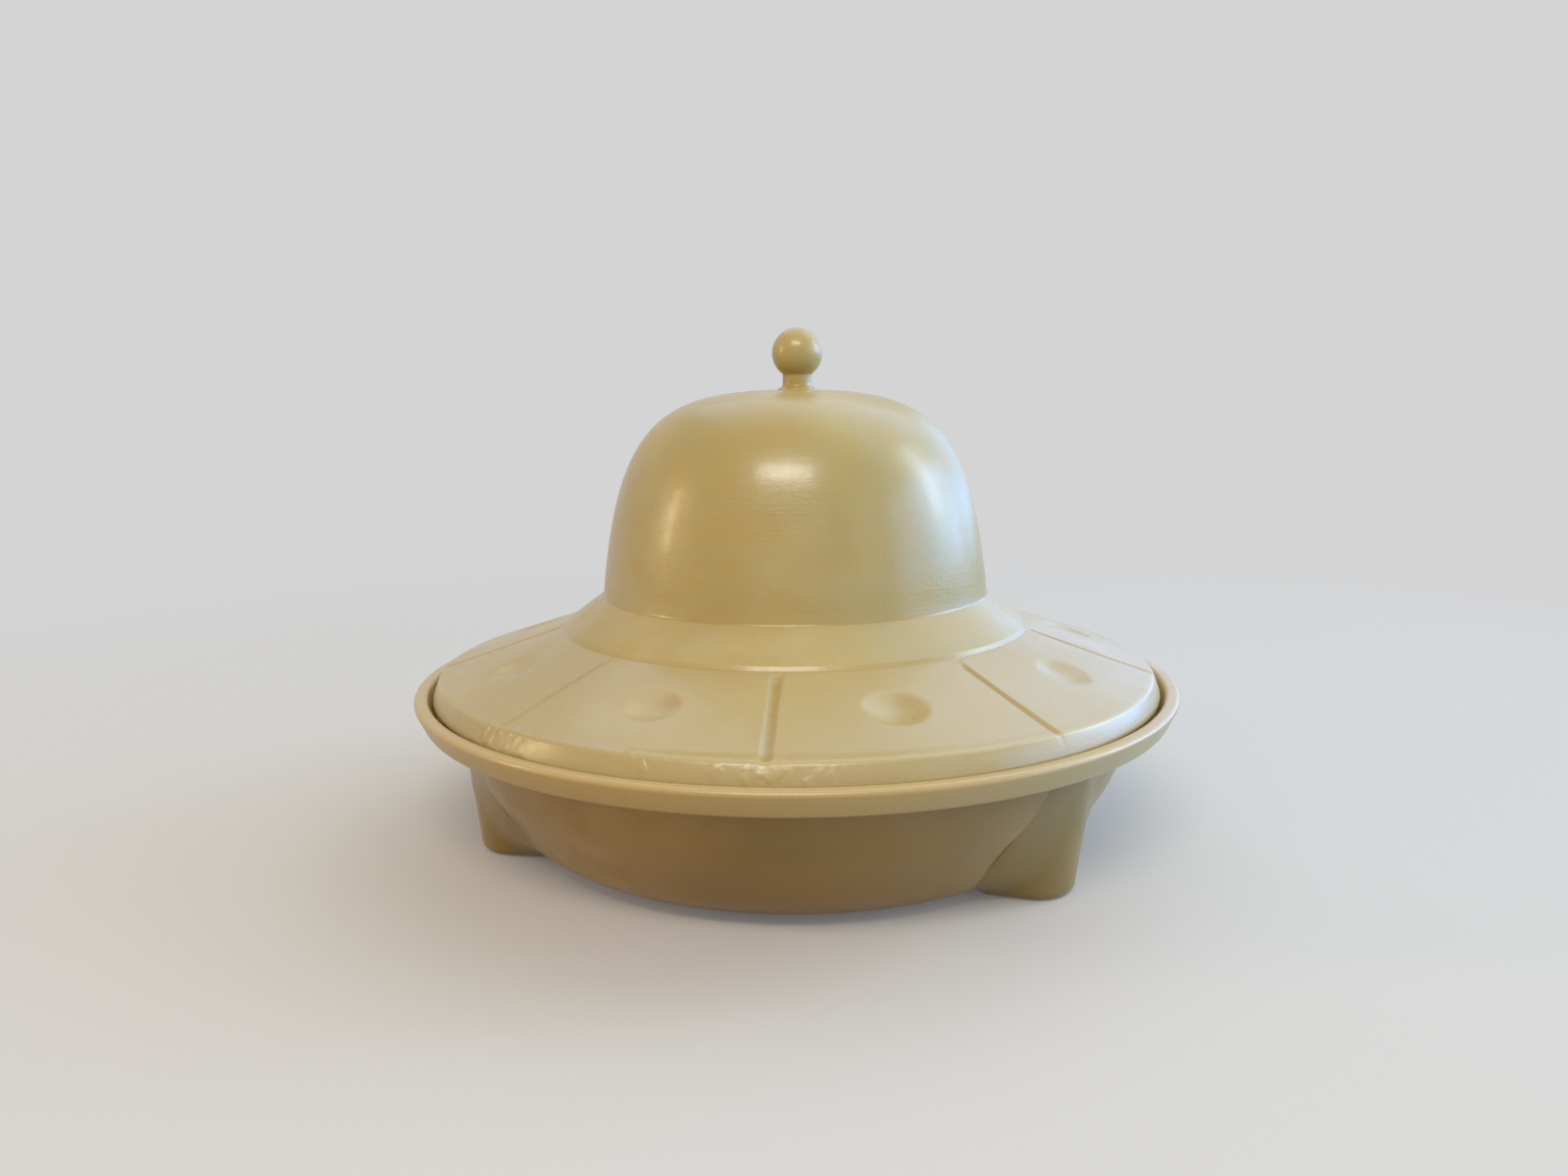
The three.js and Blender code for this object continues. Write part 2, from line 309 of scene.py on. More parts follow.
def piece(name, verts, faces, pool_and_painted_light, material, body, slot):
    """Smooth mesh in the row frame, from millimetres, riding on its body in place of the CAD node."""
    mesh = bpy.data.meshes.new(name)
    mesh.from_pydata((np.asarray(verts) / 1000).tolist(), [], faces)
    mesh.shade_smooth()
    pool_and_painted_light_layer = mesh.attributes.new("pool_and_painted_light", "FLOAT", "POINT")
    pool_and_painted_light_layer.data.foreach_set("value", np.asarray(pool_and_painted_light, np.float32))
    mesh.materials.append(material)
    obj = bpy.data.objects.new(name + "_glazed", mesh)
    bpy.context.scene.collection.objects.link(obj)
    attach(obj, body)
    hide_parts(name)


def srgb(r, g, b):
    """Display colour, 0 to 255, as a linear colour."""
    return (*[((c / 255 + 0.055) / 1.055) ** 2.4 for c in (r, g, b)], 1.0)


# Glaze
class Nodes:
    """Short calls for building one node tree."""

    def __init__(self, tree):
        self.nodes, self.links = tree.nodes, tree.links

    def feed(self, socket, value):
        if isinstance(value, bpy.types.NodeSocket):
            self.links.new(value, socket)
        else:
            socket.default_value = value

    def put(self, kind, out, **inputs):
        node = self.nodes.new(kind)
        for key, value in inputs.items():
            self.feed(node.inputs[key], value)
        return node.outputs[out]

    def row(self, node, *values):
        """Feed a node's first sockets and give back its first output."""
        for socket, value in zip(node.inputs, values):
            self.feed(socket, value)
        return node.outputs[0]

    def math(self, operation, a, b=0.0):
        node = self.nodes.new("ShaderNodeMath")
        node.operation = operation
        return self.row(node, a, b)

    def vector(self, operation, a, b):
        node = self.nodes.new("ShaderNodeVectorMath")
        node.operation = operation
        return self.row(node, a, b)

    def ramp(self, value, low, high, to_low=0.0, to_high=1.0):
        node = self.nodes.new("ShaderNodeMapRange")
        node.interpolation_type = "SMOOTHSTEP"
        return self.row(node, value, low, high, to_low, to_high)

    def join(self, factor, a, b):
        return self.row(self.nodes.new("ShaderNodeMixShader"), factor, a, b)

    def axes(self, vector):
        """The three parts of a vector."""
        node = self.nodes.new("ShaderNodeSeparateXYZ")
        self.feed(node.inputs[0], vector)
        return node.outputs

    def mix(self, factor, a, b):
        node = self.nodes.new("ShaderNodeMix")
        node.data_type = "RGBA"
        self.feed(node.inputs[0], factor)
        self.feed(node.inputs[6], a)
        self.feed(node.inputs[7], b)
        return node.outputs[2]

    def noise(self, vector, scale, detail=2.0, rough=0.55):
        return self.put("ShaderNodeTexNoise", "Fac",
                        Vector=vector, Scale=scale, Detail=detail, Roughness=rough)

    def seen(self):
        """1 for what the camera sees, straight or in a reflection, and 0 for light that bounces."""
        path = self.nodes.new("ShaderNodeLightPath").outputs
        mirrored = self.math("MAXIMUM", path["Is Glossy Ray"], path["Is Transmission Ray"])
        return self.math("MAXIMUM", path["Is Camera Ray"], mirrored)


def scaled(colour, *shares):
    """A colour with red, green and blue each multiplied."""
    return (*[c * s for c, s in zip(colour, shares)], 1)


def glaze(name, light, dark, warm, seed, rings=0.0, runs=0.0, band=None, bare_foot=False):
    """Satin stoneware glaze, mottled in three colours, golden where it pools and pale on edges; the same
    golden and pale also paint shade and sheen into the lid's dimples.

    rings and runs say how strongly turning lines and glaze runs show. band is a tint that takes over along
    z or radius: which of them, start and end in metres, share, colour. bare_foot leaves clay at the bottom.
    """
    mat = bpy.data.materials.new(name)
    mat.use_nodes = True
    n = Nodes(mat.node_tree)
    bsdf = n.nodes["Principled BSDF"]
    bsdf.inputs["IOR"].default_value = 1.52
    bsdf.inputs["Coat Weight"].default_value = 0.25
    bsdf.inputs["Coat Roughness"].default_value = 0.17

    where = n.put("ShaderNodeTexCoord", "Object")
    spot = n.vector("ADD", where, (seed, seed * 1.7, seed * 0.6))
    flat = n.vector("MULTIPLY", spot, (0.1, 0.1, 1.0))
    x, y, z = n.axes(where)
    radius = n.math("SQRT", n.math("ADD", n.math("MULTIPLY", x, x), n.math("MULTIPLY", y, y)))
    thick = n.nodes.new("ShaderNodeAttribute")
    thick.attribute_name = "pool_and_painted_light"
    pool_and_painted_light = thick.outputs["Fac"]

    broad = n.noise(spot, 12.0)
    cloud = n.noise(spot, 60.0, 4.0)
    peel = n.noise(spot, 480.0, 2.0)
    grain = n.noise(spot, 1100.0, 1.0)
    lines = n.noise(flat, 900.0, 3.0, 0.6)
    bands = n.noise(flat, 160.0, 2.0)

    # Colour
    colour = n.mix(n.ramp(broad, 0.36, 0.64), dark, light)
    colour = n.mix(n.ramp(cloud, 0.40, 0.68, 0.0, 0.55), colour, warm)
    colour = n.mix(n.ramp(bands, 0.45, 0.7, 0.0, 0.12 * rings), colour, dark)
    if band:
        way, start, end, share, tint = band
        colour = n.mix(n.ramp({"z": z, "radius": radius}[way], start, end, 0.0, share), colour, tint)
    # deep is the golden of pooled glaze and also of the dimples' painted shade; pale is the bluish tone of
    # thin glaze on edges and also of the dimples' painted sheen
    deep = scaled(warm, 0.86, 0.76, 0.36)
    pale = scaled(light, 1.16, 1.2, 1.34)
    colour = n.mix(n.ramp(pool_and_painted_light, 0.05, 1.0, 0.0, 0.55), colour, deep)
    colour = n.mix(n.ramp(pool_and_painted_light, -0.1, -0.9, 0.0, 0.4), colour, pale)
    fleck = n.math("MULTIPLY", n.ramp(grain, 0.69, 0.77, 0.0, 0.25), n.ramp(pool_and_painted_light, 0.2, 0.0))
    colour = n.mix(fleck, colour, deep)
    holes = n.put("ShaderNodeTexVoronoi", "Distance", Vector=spot, Scale=85.0)
    few = n.ramp(n.noise(spot, 34.0, 1.0), 0.66, 0.71)
    pit = n.math("MULTIPLY", n.ramp(holes, 0.06, 0.03), few)
    pit = n.math("MULTIPLY", pit, n.ramp(pool_and_painted_light, 0.12, 0.0))
    colour = n.mix(n.math("MULTIPLY", pit, 0.3), colour, srgb(104, 84, 50))

    # Gloss
    dull = n.math("ADD", n.ramp(cloud, 0.3, 0.7, 0.25, 0.35), n.math("MULTIPLY", peel, 0.08))
    dull = n.math("SUBTRACT", dull, n.ramp(pool_and_painted_light, 0.1, 1.0, 0.0, 0.06))

    # Relief: fine grain all over, weaker where the glaze pools and where the dimples' painted shade lies,
    # and runs on the shoulder's front left
    height = n.math("ADD", n.math("MULTIPLY", cloud, 0.25), n.math("MULTIPLY", peel, 0.09))
    height = n.math("ADD", height, n.math("MULTIPLY", grain, 0.12))
    height = n.math("ADD", height, n.math("MULTIPLY", bands, 0.08 * rings))
    turned = n.ramp(n.noise(spot, 22.0, 1.0), 0.42, 0.62, 0.06 * rings, 0.24 * rings)
    height = n.math("ADD", height, n.math("MULTIPLY", lines, turned))
    height = n.math("SUBTRACT", height, 0.23 + 0.1 * rings)
    height = n.math("MULTIPLY", height, n.ramp(pool_and_painted_light, 0.3, 0.0, 0.15, 1.0))
    shoulder = n.math("MULTIPLY", n.ramp(radius, 0.1255, 0.1295), n.ramp(z, 0.0675, 0.0645))
    front = n.math("MULTIPLY", n.ramp(x, 0.03, -0.01), n.ramp(y, -0.06, -0.085))
    drops = n.math("MULTIPLY", n.ramp(n.noise(spot, 210.0, 1.0), 0.4, 0.72),
                   n.ramp(n.noise(spot, 55.0, 1.0), 0.42, 0.54))
    run = n.math("MULTIPLY", n.math("MULTIPLY", shoulder, front), drops)
    height = n.math("ADD", height, n.math("MULTIPLY", run, 0.7 * runs))
    height = n.math("SUBTRACT", height, n.math("MULTIPLY", pit, 0.35))

    if bare_foot:
        clay = n.ramp(n.math("ADD", z, n.math("MULTIPLY", cloud, 0.0008)), 0.0009, 0.0006)
        colour = n.mix(clay, colour, srgb(178, 158, 128))
        dull = n.math("ADD", dull, n.math("MULTIPLY", clay, 0.4))
    n.feed(bsdf.inputs["Base Color"], colour)
    n.feed(bsdf.inputs["Roughness"], dull)
    n.feed(bsdf.inputs["Normal"],
           n.put("ShaderNodeBump", 0, Strength=0.5, Distance=0.0007, Height=height))
    return mat


lid_glaze = glaze(
    "lid_glaze", light=srgb(178, 155, 99), dark=srgb(162, 140, 79), warm=srgb(172, 140, 71), seed=0.31,
    rings=1.0, runs=1.0, band=("radius", 0.085, 0.0885, 0.6, srgb(174, 150, 101)))
knob_glaze = glaze(
    "knob_glaze", light=srgb(180, 155, 94), dark=srgb(167, 142, 80), warm=srgb(172, 143, 72), seed=0.77)
# painted shade: the dish's glaze is darker than the lid's, with the shade under the rim painted into the
# bowl's colour; the band above 47 mm gives the rim the lid's lighter tone
dish_glaze = glaze(
    "dish_glaze", light=srgb(168, 135, 78), dark=srgb(142, 112, 60), warm=srgb(148, 115, 53), seed=0.13,
    rings=0.6, band=("z", 0.0468, 0.0492, 0.85, srgb(185, 157, 101)))
# the feet's glaze is darker than the bowl's, partly a darker glaze and partly painted shade where they
# stand under the bowl
foot_glaze = glaze(
    "foot_glaze", light=srgb(149, 123, 69), dark=srgb(136, 110, 57), warm=srgb(141, 112, 51), seed=0.52,
    bare_foot=True)

# Dish
lip_in = RIM_R - LIP
gallery_r = lip_in - RIM_LEAN * (RIM_TOP - GALLERY_Z) / RIM_BAND
rise = (FLOOR_Z - BOWL_Z) / (BOWL_BREAK_Z - BOWL_Z)
floor_r = BOWL_FOOT_R + (BOWL_BREAK_R - BOWL_FOOT_R) * rise - BOWL_WALL
band_foot = (RIM_R - RIM_LEAN, RIM_TOP - RIM_BAND)
bowl_side = rounded([
    (0, BOWL_Z),
    (BOWL_FOOT_R, BOWL_Z, BOWL_FOOT_ROUND),
    (BOWL_BREAK_R, BOWL_BREAK_Z, BOWL_BREAK_ROUND),
    (BOWL_TOP_R, FLANGE_Z, FLANGE_ROUND),
    band_foot,
])[:-1]
dish_outline = refine(rounded([
    *[tuple(p) for p in bowl_side],
    (*band_foot, BAND_ROUND),
    (RIM_R, RIM_TOP, LIP_ROUND),
    (lip_in, RIM_TOP, LIP_ROUND),
    (gallery_r, GALLERY_Z, GALLERY_ROUND),
    (BOWL_TOP_R - BOWL_WALL, GALLERY_Z, GALLERY_EDGE_ROUND),
    (BOWL_BREAK_R - BOWL_WALL, BOWL_BREAK_Z, BOWL_BREAK_ROUND),
    (floor_r, FLOOR_Z, FLOOR_ROUND),
    (0, FLOOR_Z),
]), lambda middle: DISH_STEP)
piece("base_dish", *revolve(dish_outline, np.arange(0, 360, DISH_TURN)), dish_glaze, "base", "khaki_glaze")


def bowl_r(z):
    """Outer radius of the bowl at a height."""
    side = np.array(bowl_side[1:])
    return float(np.interp(z, side[:, 1], side[:, 0]))


# Feet, each blended into the bowl with the fillet its joint shows
def between(low, high, share):
    return low + (high - low) * share


def union(a, b, soft):
    """The greater of two values, rounded off over soft where they meet."""
    return max(a, b) + max(soft - abs(a - b), 0) ** 2 / (4 * soft)


def skirt_spread(z):
    """Half the angle that a foot's skirt takes up on the bowl at a height."""
    above, below = max(z - SKIRT_Z, 0), max(SKIRT_Z - z, 0) / SKIRT_Z
    return math.radians(SKIRT_HALF - SKIRT_FALL * above - SKIRT_BEND * above ** 2 - SKIRT_TUCK * below ** 2)


def foot_ring(z, fillet, wide_side):
    """A foot's points and glaze at one height: across its front, then back along the bowl."""
    up = min(z / FOOT_FULL_Z, 1)
    shy = max(FOOT_ROUND - z, 0)
    centre = between(FOOT_LOW_R, FOOT_HIGH_R, up)
    nose = between(FOOT_NOSE_LOW, FOOT_NOSE_HIGH, up)
    nose -= FOOT_ROUND - math.sqrt(FOOT_ROUND ** 2 - shy ** 2)
    flank = math.radians(between(FOOT_FLANK_LOW, FOOT_FLANK_HIGH, 1 - (1 - up) ** FOOT_EASE))
    nose_end = math.atan2(nose * math.cos(flank), centre + nose * math.sin(flank))
    reach = centre * math.sin(flank) + nose

    bowl = bowl_r(max(z, BOWL_Z))
    inner = max(FOOT_ROOT_R, bowl)
    proud = centre + nose - inner
    swell = max(SKIRT_SHARE * proud, SKIRT_LEAST)
    melt = min(max(proud, MELT_LEAST), MELT_MOST)
    soft = min(fillet, FILLET_SHARE * (inner - reach), swell)
    soft *= max(1 - (inner - bowl) / FILLET_FADE, FILLET_LEAST)
    spread = skirt_spread(z)
    skirts = {s: spread if s == wide_side else spread / SKIRT_SHORTER for s in (-1, 1)}
    plain = math.asin(reach / (inner - soft)) - flank
    ends = {s: max(plain, skirts[s] * math.sqrt(1 + soft / swell)) for s in (-1, 1)}

    ring, pool_and_painted_light = [], []
    turns = np.concatenate([np.linspace(-ends[-1], 0, FOOT_TURNS), np.linspace(0, ends[1], FOOT_TURNS)[1:]])
    for t in turns:
        side = -1 if t < 0 else 1
        a = abs(t)
        share = a / ends[side]
        if a < nose_end:
            out = centre * math.cos(a) + math.sqrt(max(nose ** 2 - (centre * math.sin(a)) ** 2, 0))
        else:
            out = reach / math.sin(flank + a)
        out = union(out, inner + swell * (1 - (a / skirts[side]) ** 2), melt)
        out = union(out, inner, soft) - FOOT_SINK * share ** FOOT_SINK_POWER
        ring.append((out * math.sin(t), -out * math.cos(t), z))
        pool_and_painted_light.append(max(share - FOOT_POOL_FROM, 0) / FOOT_POOL_SPAN - FOOT_PALE * shy / FOOT_ROUND)
    back = inner - FOOT_BACK
    ring += [(back * math.sin(t), -back * math.cos(t), z) for t in turns[::-1]]
    return ring, pool_and_painted_light + [0.0] * len(turns)


def foot_mesh(azimuth, fillet, wide_side):
    """Vertices, faces and glaze of one foot, closed at the bottom and under the flange."""
    levels = [FOOT_ROUND * (1 - math.cos(a)) for a in np.linspace(0, math.pi / 2, FOOT_ROUND_LEVELS)]
    levels += list(np.linspace(FOOT_ROUND, FOOT_TOP_Z, FOOT_LEVELS)[1:])
    rings, pools = zip(*[foot_ring(z, fillet, wide_side) for z in levels])
    count = len(rings[0])
    faces = []
    for k in range(len(levels) - 1):
        for i in range(count):
            j = (i + 1) % count
            faces.append((k * count + i, k * count + j, (k + 1) * count + j, (k + 1) * count + i))
    top = (len(levels) - 1) * count
    for i in range(count // 2 - 1):
        j = count - 1 - i
        faces.append((i, j, j - 1, i + 1))
        faces.append((top + i, top + i + 1, top + j - 1, top + j))
    turn = Matrix.Rotation(math.radians(azimuth), 3, "Z")
    verts = [tuple(turn @ Vector(v)) for ring in rings for v in ring]
    return verts, faces, np.clip(np.concatenate(pools), -1, 1)


for foot, choice in FEET.items():
    piece(foot, *foot_mesh(*choice), foot_glaze, "base", "khaki_glaze")


# Lid
def brim_z(r):
    """Height of the brim's slope at a radius."""
    return BRIM_Z - (r - BRIM_R) * math.tan(SLOPE)


def dome(wall, steps):
    """The dome's side as one cubic curve from its foot to the crown, wall inside its outer face."""
    foot = np.array([DOME_R - wall, DOME_Z - wall / 2])
    pull = np.array([foot[0] - DOME_RISE * math.tan(DOME_LEAN), DOME_Z + DOME_RISE - wall])
    over = np.array([CROWN_R - wall, CROWN_Z - wall])
    top = np.array([0.0, CROWN_Z - wall])
    t = np.linspace(0, 1, steps + 1)[:, None]
    curve = (1 - t) ** 3 * foot + 3 * (1 - t) ** 2 * t * pull + 3 * (1 - t) * t * t * over + t ** 3 * top
    return [tuple(p) for p in curve]


def lid_step(middle):
    """Finer on top of the brim, most of all where the dimples are."""
    r, z = middle
    if r < FINE_R or z < brim_z(r) - FINE_BELOW or z < FINE_Z:
        return PLAIN_STEP
    return DIMPLE_STEP if abs(r - DIMPLE_R) < FINE_HALF else BRIM_STEP


def under_z(r):
    """Height of the brim's lower face at a radius."""
    return brim_z(r) - WALL / math.cos(SLOPE)


lid_outline = refine(rounded([
    *dome(WALL, DOME_STEPS_IN)[::-1],
    (UNDER_IN_R, under_z(UNDER_IN_R), UNDER_ROUND),
    (UNDER_OUT_R, under_z(UNDER_OUT_R), UNDER_ROUND),
    (SEAT_IN_R, SEAT_Z, SEAT_ROUND),
    (SEAT_OUT_R, SEAT_Z, SEAT_ROUND),
    (EDGE_R, EDGE_Z, EDGE_ROUND),
    (SHOULDER_R, SHOULDER_Z, SHOULDER_ROUND),
    (BRIM_BEND_R, brim_z(BRIM_BEND_R), BRIM_BEND_ROUND),
    (BRIM_R, BRIM_Z, STEP_LOW_ROUND),
    (BRIM_R - STEP_IN, BRIM_Z + STEP_UP, STEP_TOP_ROUND),
    (DOME_R, DOME_Z, DOME_ROUND),
    *dome(0, DOME_STEPS_OUT)[1:],
], LID_ARC_STEP), lid_step)

# Azimuths of one panel, close together over its groove and its dimple
dimple_start, dimple_end = PANEL / 2 - DIMPLE_ZONE, PANEL / 2 + DIMPLE_ZONE
panel = np.concatenate([
    np.linspace(-GROOVE_ZONE, GROOVE_ZONE, GROOVE_TURNS),
    np.linspace(PLAIN_ZONE, dimple_start, PLAIN_TURNS)[:-1],
    np.linspace(dimple_start, dimple_end, DIMPLE_TURNS),
    np.linspace(dimple_end, PANEL - PLAIN_ZONE, PLAIN_TURNS)[1:],
])
lid_azimuths = np.concatenate([GROOVE_AZ + k * PANEL + panel for k in range(PANELS)])


def aside(az, centre, period=360):
    """Degrees from the nearest of the azimuths that repeat every period, starting at centre."""
    return (az - centre + period / 2) % period - period / 2


def around(az, centre, width):
    """1 at an azimuth, falling to 0 to both sides of it."""
    return np.exp(-(aside(az, centre) / width) ** 2)


def fade(value, start, length):
    """0 up to start, rising to 1 over a length."""
    return min(1, max(0, (value - start) / length))


def patch(along, across, amount, at_along, at_across, reach_squared):
    """An amount at a spot in each dimple, falling to 0 round it."""
    away = ((along - at_along) ** 2 + (across - at_across) ** 2) / reach_squared
    return amount * np.clip(1 - away, 0, 1) ** PATCH_POWER


def brim_relief(az, r, z):
    """Height of grooves, dimples, glaze drops and faint waves, and where the glaze gathers in them, with
    painted shade and a painted sheen in the dimples.
    """
    lift, pooling_and_painted_light = np.zeros((2, len(az)))
    if r < RELIEF_R or z < RELIEF_Z or z < brim_z(r) - RELIEF_BELOW:
        return lift, pooling_and_painted_light
    lift += SWELL * around(az, SWELL_AZ, SWELL_WIDE) * fade(r, SWELL_R, SWELL_FADE)
    if z < WAVES_Z:
        return lift, pooling_and_painted_light
    lift += sum(high * np.sin(number * np.radians(az) + phase + change * r)
                for high, number, phase, change in WAVES)
    pooling_and_painted_light += GOLD * around(az, GOLD_AZ, GOLD_WIDE) * fade(r, GOLD_R, GOLD_FADE)
    if r < COLLAR_R:
        return lift * max(r - WAVES_R, 0) / WAVES_FADE, pooling_and_painted_light

    # Groove, fullest at the front, with a drop of glaze at its inner end
    across = r * np.sin(np.radians(aside(az, GROOVE_AZ, PANEL)))
    number = np.round((az - GROOVE_AZ) / PANEL)
    cut = np.where(number == 0, 1.0, GROOVE_LESSER)
    groove = np.clip(1 - (across / GROOVE_HALF / cut) ** 2, 0, None) ** GROOVE_BELLY
    groove *= fade(r, GROOVE_IN_R, GROOVE_IN_FADE) * (1 - fade(r, GROOVE_OUT_R, GROOVE_OUT_FADE))
    lift -= GROOVE_D * cut * groove
    blob = np.exp(-((r - BLOB_R) ** 2 + across ** 2) / BLOB_SIZE)
    lift += (BLOB_HIGH + BLOB_VARIES * np.sin(BLOB_PHASE * number)) * blob

    # Dimple, shallower on the left, golden on one side, partly pooled glaze and partly painted shade, and
    # pale on the other, a painted sheen
    along = r - DIMPLE_R
    across = r * np.sin(np.radians(aside(az, GROOVE_AZ + PANEL / 2, PANEL)))
    bowl = 1 - (along / math.cos(SLOPE) / DIMPLE_ALONG) ** 2 - (across / DIMPLE_ACROSS) ** 2
    inside = np.clip(DIMPLE_RIM * bowl, 0, 1)
    bowl = (bowl + np.sqrt(bowl ** 2 + DIMPLE_SOFT)) / 2
    depth = np.where(np.abs(aside(az, GROOVE_AZ - PANEL)) < PANEL, DIMPLE_LEFT_D, DIMPLE_D)
    pooling_and_painted_light += GROOVE_GOLD * groove
    # painted shade, golden on the side turned from the light, and painted sheen, pale on the side toward it
    pooling_and_painted_light += inside * (patch(along, across, *DIMPLE_POOL_AND_SHADE) - patch(along, across, *DIMPLE_PAINTED_SHEEN))
    return lift - depth * bowl, pooling_and_painted_light


piece("lid_shell", *revolve(lid_outline, lid_azimuths, brim_relief), lid_glaze, "lid", "pale_khaki_glaze")

# Knob, with the slip drawn up round its stem
ball_z = KNOB_TOP - KNOB_R
ball_angles = np.linspace(-math.acos(STEM_R / KNOB_R), math.pi / 2, BALL_STEPS)
ball = [(KNOB_R * math.cos(a), ball_z + KNOB_R * math.sin(a)) for a in ball_angles]
knob_outline = refine(rounded([
    (0, CROWN_Z - KNOB_SINK),
    (SLIP_R, CROWN_Z - KNOB_SINK),
    (SLIP_TOP_R, CROWN_Z + SLIP_H, SLIP_ROUND),
    (STEM_R, CROWN_Z + STEM_FOOT_H, STEM_ROUND),
    (STEM_R, ball[0][1], STEM_TOP_ROUND),
    *ball[2:-1],
    (0.0, KNOB_TOP),
]), lambda middle: KNOB_STEP)
knob_verts, knob_faces, knob_pool = revolve(knob_outline, np.arange(0, 360, KNOB_TURN))
knob_verts = [(x + KNOB_ASIDE, y, z) for x, y, z in knob_verts]
piece("lid_knob", knob_verts, knob_faces, knob_pool, knob_glaze, "lid", "pale_khaki_glaze")

# Surroundings, from here on in metres
BACKGROUND = srgb(212, 212, 213)
FLOOR_HALF = 40
FLOOR_NEAR = srgb(198, 189, 178)
FLOOR_FADE = (0.15, 0.8, 0.15, 1.0)
BOUNCE_LEFT = (0.44, 0.33, 0.17, 1)
BOUNCE_RIGHT = (0.32, 0.55, 0.95, 1)
BOUNCE_SPLIT = (0.02, 0.18)
ROOM = (1.0, 1.0, 0.88, 1)
ROOM_UPWARD = (0.0, 0.9, 0.67, 0.73)
ROOM_RIGHTWARD = (-1.0, 0.6, 0.6, 1.0)
AIM = Vector((0, 0, 0.11))

# Lamps: azimuth, elevation, distance, width, height, power in watts, colour
LAMPS = {
    "window_wall": (118, 32, 2.2, 2.8, 2.6, 27, (0.33, 0.54, 1.0)),
    "window": (102, 25, 1.9, 0.4, 1.0, 9, (0.6, 0.8, 1.0)),
    "low_window": (92, 13, 2.0, 2.2, 0.9, 25, (0.24, 0.52, 1.0)),
    "back_window": (138, 11, 2.2, 2.0, 0.9, 6, (0.22, 0.46, 1.0)),
    "low_sky": (120, 4, 2.0, 1.5, 0.5, 3.5, (0.1, 0.42, 1.0)),
    "ceiling": (165, 60, 2.0, 2.6, 2.2, 13, (0.42, 0.66, 1.0)),
    "ceiling_lamp": (-7, 47, 1.6, 0.85, 0.28, 12, (1.0, 0.95, 0.9)),
    "door": (42, 18, 1.6, 0.35, 0.7, 1.0, (0.6, 0.8, 1.0)),
    "left_lamp": (-82, 16, 1.6, 0.16, 0.5, 3.9, (1.0, 0.8, 0.5)),
}

# Camera at the photograph's place, looking a little down
CAMERA_AT = (0, -0.4392, 0.1628)
CAMERA_TURNS = (9.59, -0.54, -0.5)
CAMERA_SENSOR = 36
CAMERA_LENS = 26.97
CAMERA_NEAR = 0.01


def floor_material():
    """Pale floor that fades into the plain surround, and throws warm light left and cool light right."""
    mat = bpy.data.materials.new("floor")
    mat.use_nodes = True
    n = Nodes(mat.node_tree)
    n.nodes.remove(n.nodes["Principled BSDF"])
    where = n.put("ShaderNodeTexCoord", "Object")
    away = n.nodes.new("ShaderNodeVectorMath")
    away.operation = "LENGTH"
    n.feed(away.inputs[0], where)
    near = n.put("ShaderNodeBsdfDiffuse", 0, Color=FLOOR_NEAR)
    far = n.put("ShaderNodeEmission", 0, Color=BACKGROUND, Strength=1.0)
    pale = n.join(n.ramp(away.outputs["Value"], *FLOOR_FADE), near, far)
    tint = n.mix(n.ramp(n.axes(where)[0], *BOUNCE_SPLIT), BOUNCE_LEFT, BOUNCE_RIGHT)
    bounce = n.put("ShaderNodeBsdfDiffuse", 0, Color=tint)
    n.feed(n.nodes["Material Output"].inputs["Surface"], n.join(n.seen(), bounce, pale))
    return mat


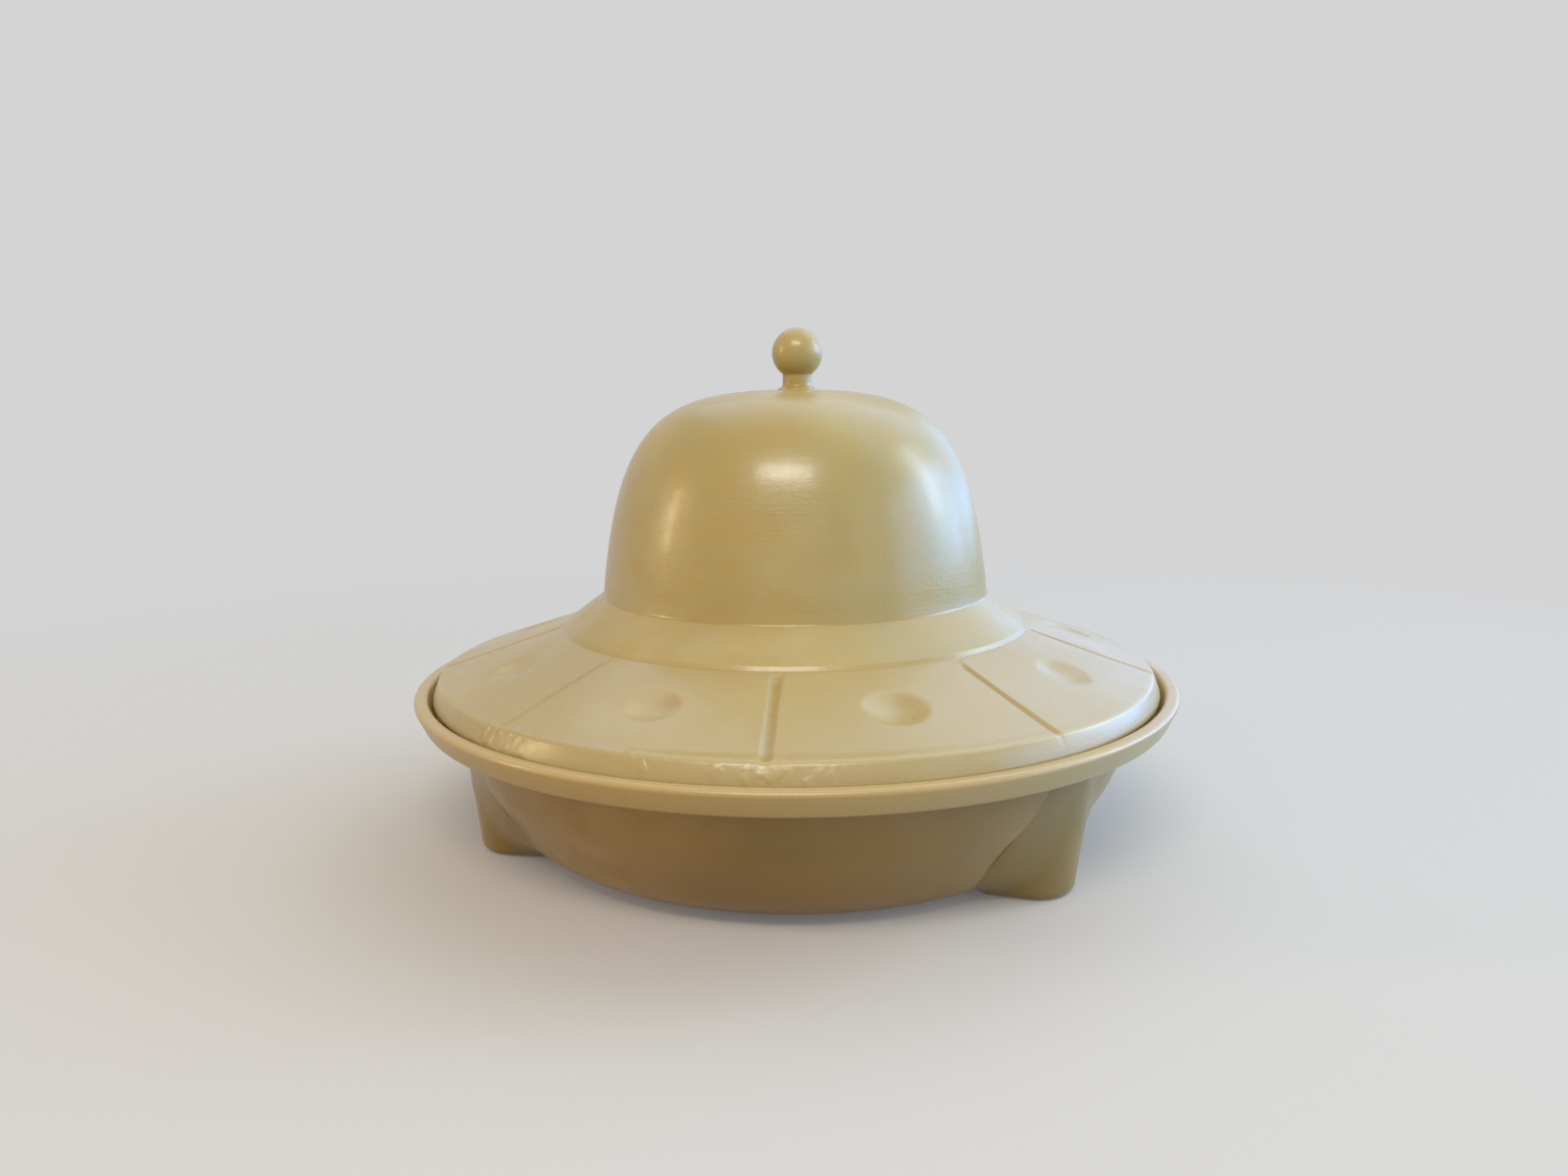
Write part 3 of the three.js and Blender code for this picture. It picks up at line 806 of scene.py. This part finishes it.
def surround():
    """World with the background's grey as seen, and a brighter ceiling over dimmer walls as light."""
    world = bpy.data.worlds.new("studio")
    world.use_nodes = True
    n = Nodes(world.node_tree)
    sky = n.axes(n.put("ShaderNodeTexCoord", "Generated"))
    upward = n.ramp(sky[2], *ROOM_UPWARD)
    rightward = n.ramp(sky[0], *ROOM_RIGHTWARD)
    room = n.put("ShaderNodeBackground", 0, Color=ROOM, Strength=n.math("MULTIPLY", upward, rightward))
    plain = n.put("ShaderNodeBackground", 0, Color=BACKGROUND, Strength=1.0)
    n.feed(n.nodes["World Output"].inputs["Surface"], n.join(n.seen(), room, plain))
    return world


def softbox(name, azimuth, elevation, distance, width, height, power, colour):
    """Soft rectangular light on the object, placed by its direction from the dome."""
    az, el = math.radians(azimuth), math.radians(elevation)
    way = Vector((math.sin(az) * math.cos(el), -math.cos(az) * math.cos(el), math.sin(el)))
    light = bpy.data.lights.new(name, "AREA")
    light.shape = "RECTANGLE"
    light.size, light.size_y = width, height
    light.energy = power
    light.color = colour
    obj = bpy.data.objects.new(name, light)
    obj.location = AIM + way * distance
    obj.rotation_euler = (-way).to_track_quat("-Z", "Y").to_euler()
    bpy.context.scene.collection.objects.link(obj)


floor_corners = [(x * FLOOR_HALF, y * FLOOR_HALF, 0) for x, y in ((-1, -1), (1, -1), (1, 1), (-1, 1))]
floor_mesh = bpy.data.meshes.new("floor")
floor_mesh.from_pydata(floor_corners, [], [(0, 1, 2, 3)])
floor_mesh.materials.append(floor_material())
floor = bpy.data.objects.new("floor", floor_mesh)
bpy.context.scene.collection.objects.link(floor)

bpy.context.scene.world = surround()
for lamp, choice in LAMPS.items():
    softbox(lamp, *choice)

pitch, yaw, roll = (math.radians(a) for a in CAMERA_TURNS)
ahead = Vector((math.sin(yaw) * math.cos(pitch), math.cos(yaw) * math.cos(pitch), -math.sin(pitch)))
right = Vector((math.cos(yaw), -math.sin(yaw), 0))
up = right.cross(ahead)
right, up = (right * math.cos(roll) + up * math.sin(roll), up * math.cos(roll) - right * math.sin(roll))
lens = bpy.data.cameras.new("camera")
lens.sensor_width = CAMERA_SENSOR
lens.lens = CAMERA_LENS
lens.clip_start = CAMERA_NEAR
camera = bpy.data.objects.new("camera", lens)
bpy.context.scene.collection.objects.link(camera)
facing = Matrix((right, up, -ahead)).transposed().to_4x4()
camera.matrix_world = Matrix.Translation(CAMERA_AT) @ facing
bpy.context.scene.camera = camera
bpy.context.scene.view_settings.view_transform = "Standard"

bpy.context.view_layer.update()
